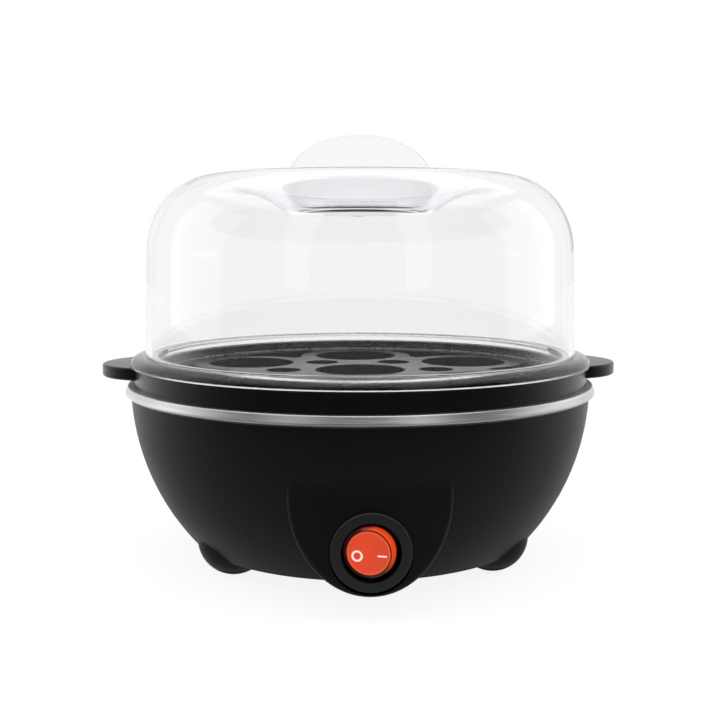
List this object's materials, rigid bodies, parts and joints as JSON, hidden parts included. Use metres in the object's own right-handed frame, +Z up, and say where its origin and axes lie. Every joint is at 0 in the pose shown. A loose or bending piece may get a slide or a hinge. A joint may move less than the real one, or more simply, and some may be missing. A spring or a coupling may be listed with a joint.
{
  "type": "electric egg cooker",
  "caption": "Round electric egg cooker with a clear lift-off lid, an egg tray with two ears, a steel water dish and a black bowl base with a rocker switch.",
  "frame": {"origin": "on the bowl's axis at the level of the four foot pads", "axes": "+Z up along the bowl's axis, -Y towards the switch, +X towards the tray's right ear"},
  "size_m": [0.177, 0.1597, 0.1428],
  "materials": {
    "clear_lid": "clear glossy plastic",
    "tray_plastic": "black plastic, satin outside and textured inside",
    "black_shell": "satin black plastic",
    "black_trim": "satin black plastic trim",
    "orange_rocker": "translucent orange-red plastic",
    "dish_steel": "stainless steel, turned lines round the rim",
    "plain_steel": "zinc-plated steel",
    "heater_steel": "heat-darkened steel tube",
    "spreader_aluminium": "cast aluminium",
    "brass": "brass",
    "foot_rubber": "soft black rubber",
    "seal_silicone": "grey silicone",
    "ceramic": "unglazed white ceramic",
    "phenolic": "dark phenolic moulding",
    "nylon": "natural nylon",
    "sleeve_glass_fibre": "woven glass-fibre sleeve",
    "lead_brown": "brown lead insulation",
    "lead_blue": "blue lead insulation",
    "lead_green": "green and yellow lead insulation",
    "lamp_glass": "clear glass tube"
  },
  "bodies": {
    "base": {"heating_plate": "dish_steel", "rim_seal": "seal_silicone", "base_bowl": "black_shell", "bottom_cover": "black_trim", "cover_screws": "plain_steel", "heating_element": "heater_steel", "element_pins": "plain_steel", "element_beads": "ceramic", "heat_spreader": "spreader_aluminium", "thermostat": "phenolic", "thermostat_bracket": "plain_steel", "bracket_screws": "plain_steel", "thermal_fuse": "brass", "fuse_sleeve": "sleeve_glass_fibre", "plate_washers": "plain_steel", "plate_nuts": "plain_steel", "switch_body": "black_trim", "neon_lamp": "lamp_glass", "switch_terminals": "brass", "receptacles": "brass", "terminal_block": "nylon", "clamp_screws": "brass", "block_screws": "plain_steel", "cord_gland": "foot_rubber", "live_lead": "lead_brown", "lamp_lead": "lead_blue", "switched_lead": "lead_brown", "fuse_lead": "lead_brown", "heater_lead": "lead_brown", "neutral_lead": "lead_blue", "earth_lead": "lead_green", "foot_pad_1": "foot_rubber", "foot_pad_2": "foot_rubber", "foot_pad_3": "foot_rubber", "foot_pad_4": "foot_rubber"},
    "tray": {"egg_tray": "tray_plastic"},
    "lid": {"lid": "clear_lid"},
    "rocker": {"rocker": "orange_rocker", "plunger": "nylon", "plunger_spring": "plain_steel"},
    "contact_lever": {"contact_lever": "brass"}
  },
  "joints": [
    {"name": "tray_lift", "type": "slide", "parent": "base", "child": "tray", "axis": [0, 0, 1], "range_m": [0, 0.06]},
    {"name": "lid_lift", "type": "slide", "parent": "tray", "child": "lid", "axis": [0, 0, 1], "range_m": [0, 0.1]},
    {"name": "rocker_tilt", "type": "hinge", "parent": "base", "child": "rocker", "pos_m": [0, -0.0745, 0.02065], "axis": [0, 0, 1], "range_deg": [0, 28]},
    {"name": "contact_lever_tilt", "type": "hinge", "parent": "base", "child": "contact_lever", "pos_m": [0, -0.06705, 0.02065], "axis": [0, 0, 1], "range_deg": [-12, 0]}
  ],
  "couplings": [
    {"joint": "contact_lever_tilt", "follows": "rocker_tilt", "ratio": -0.428}
  ]
}
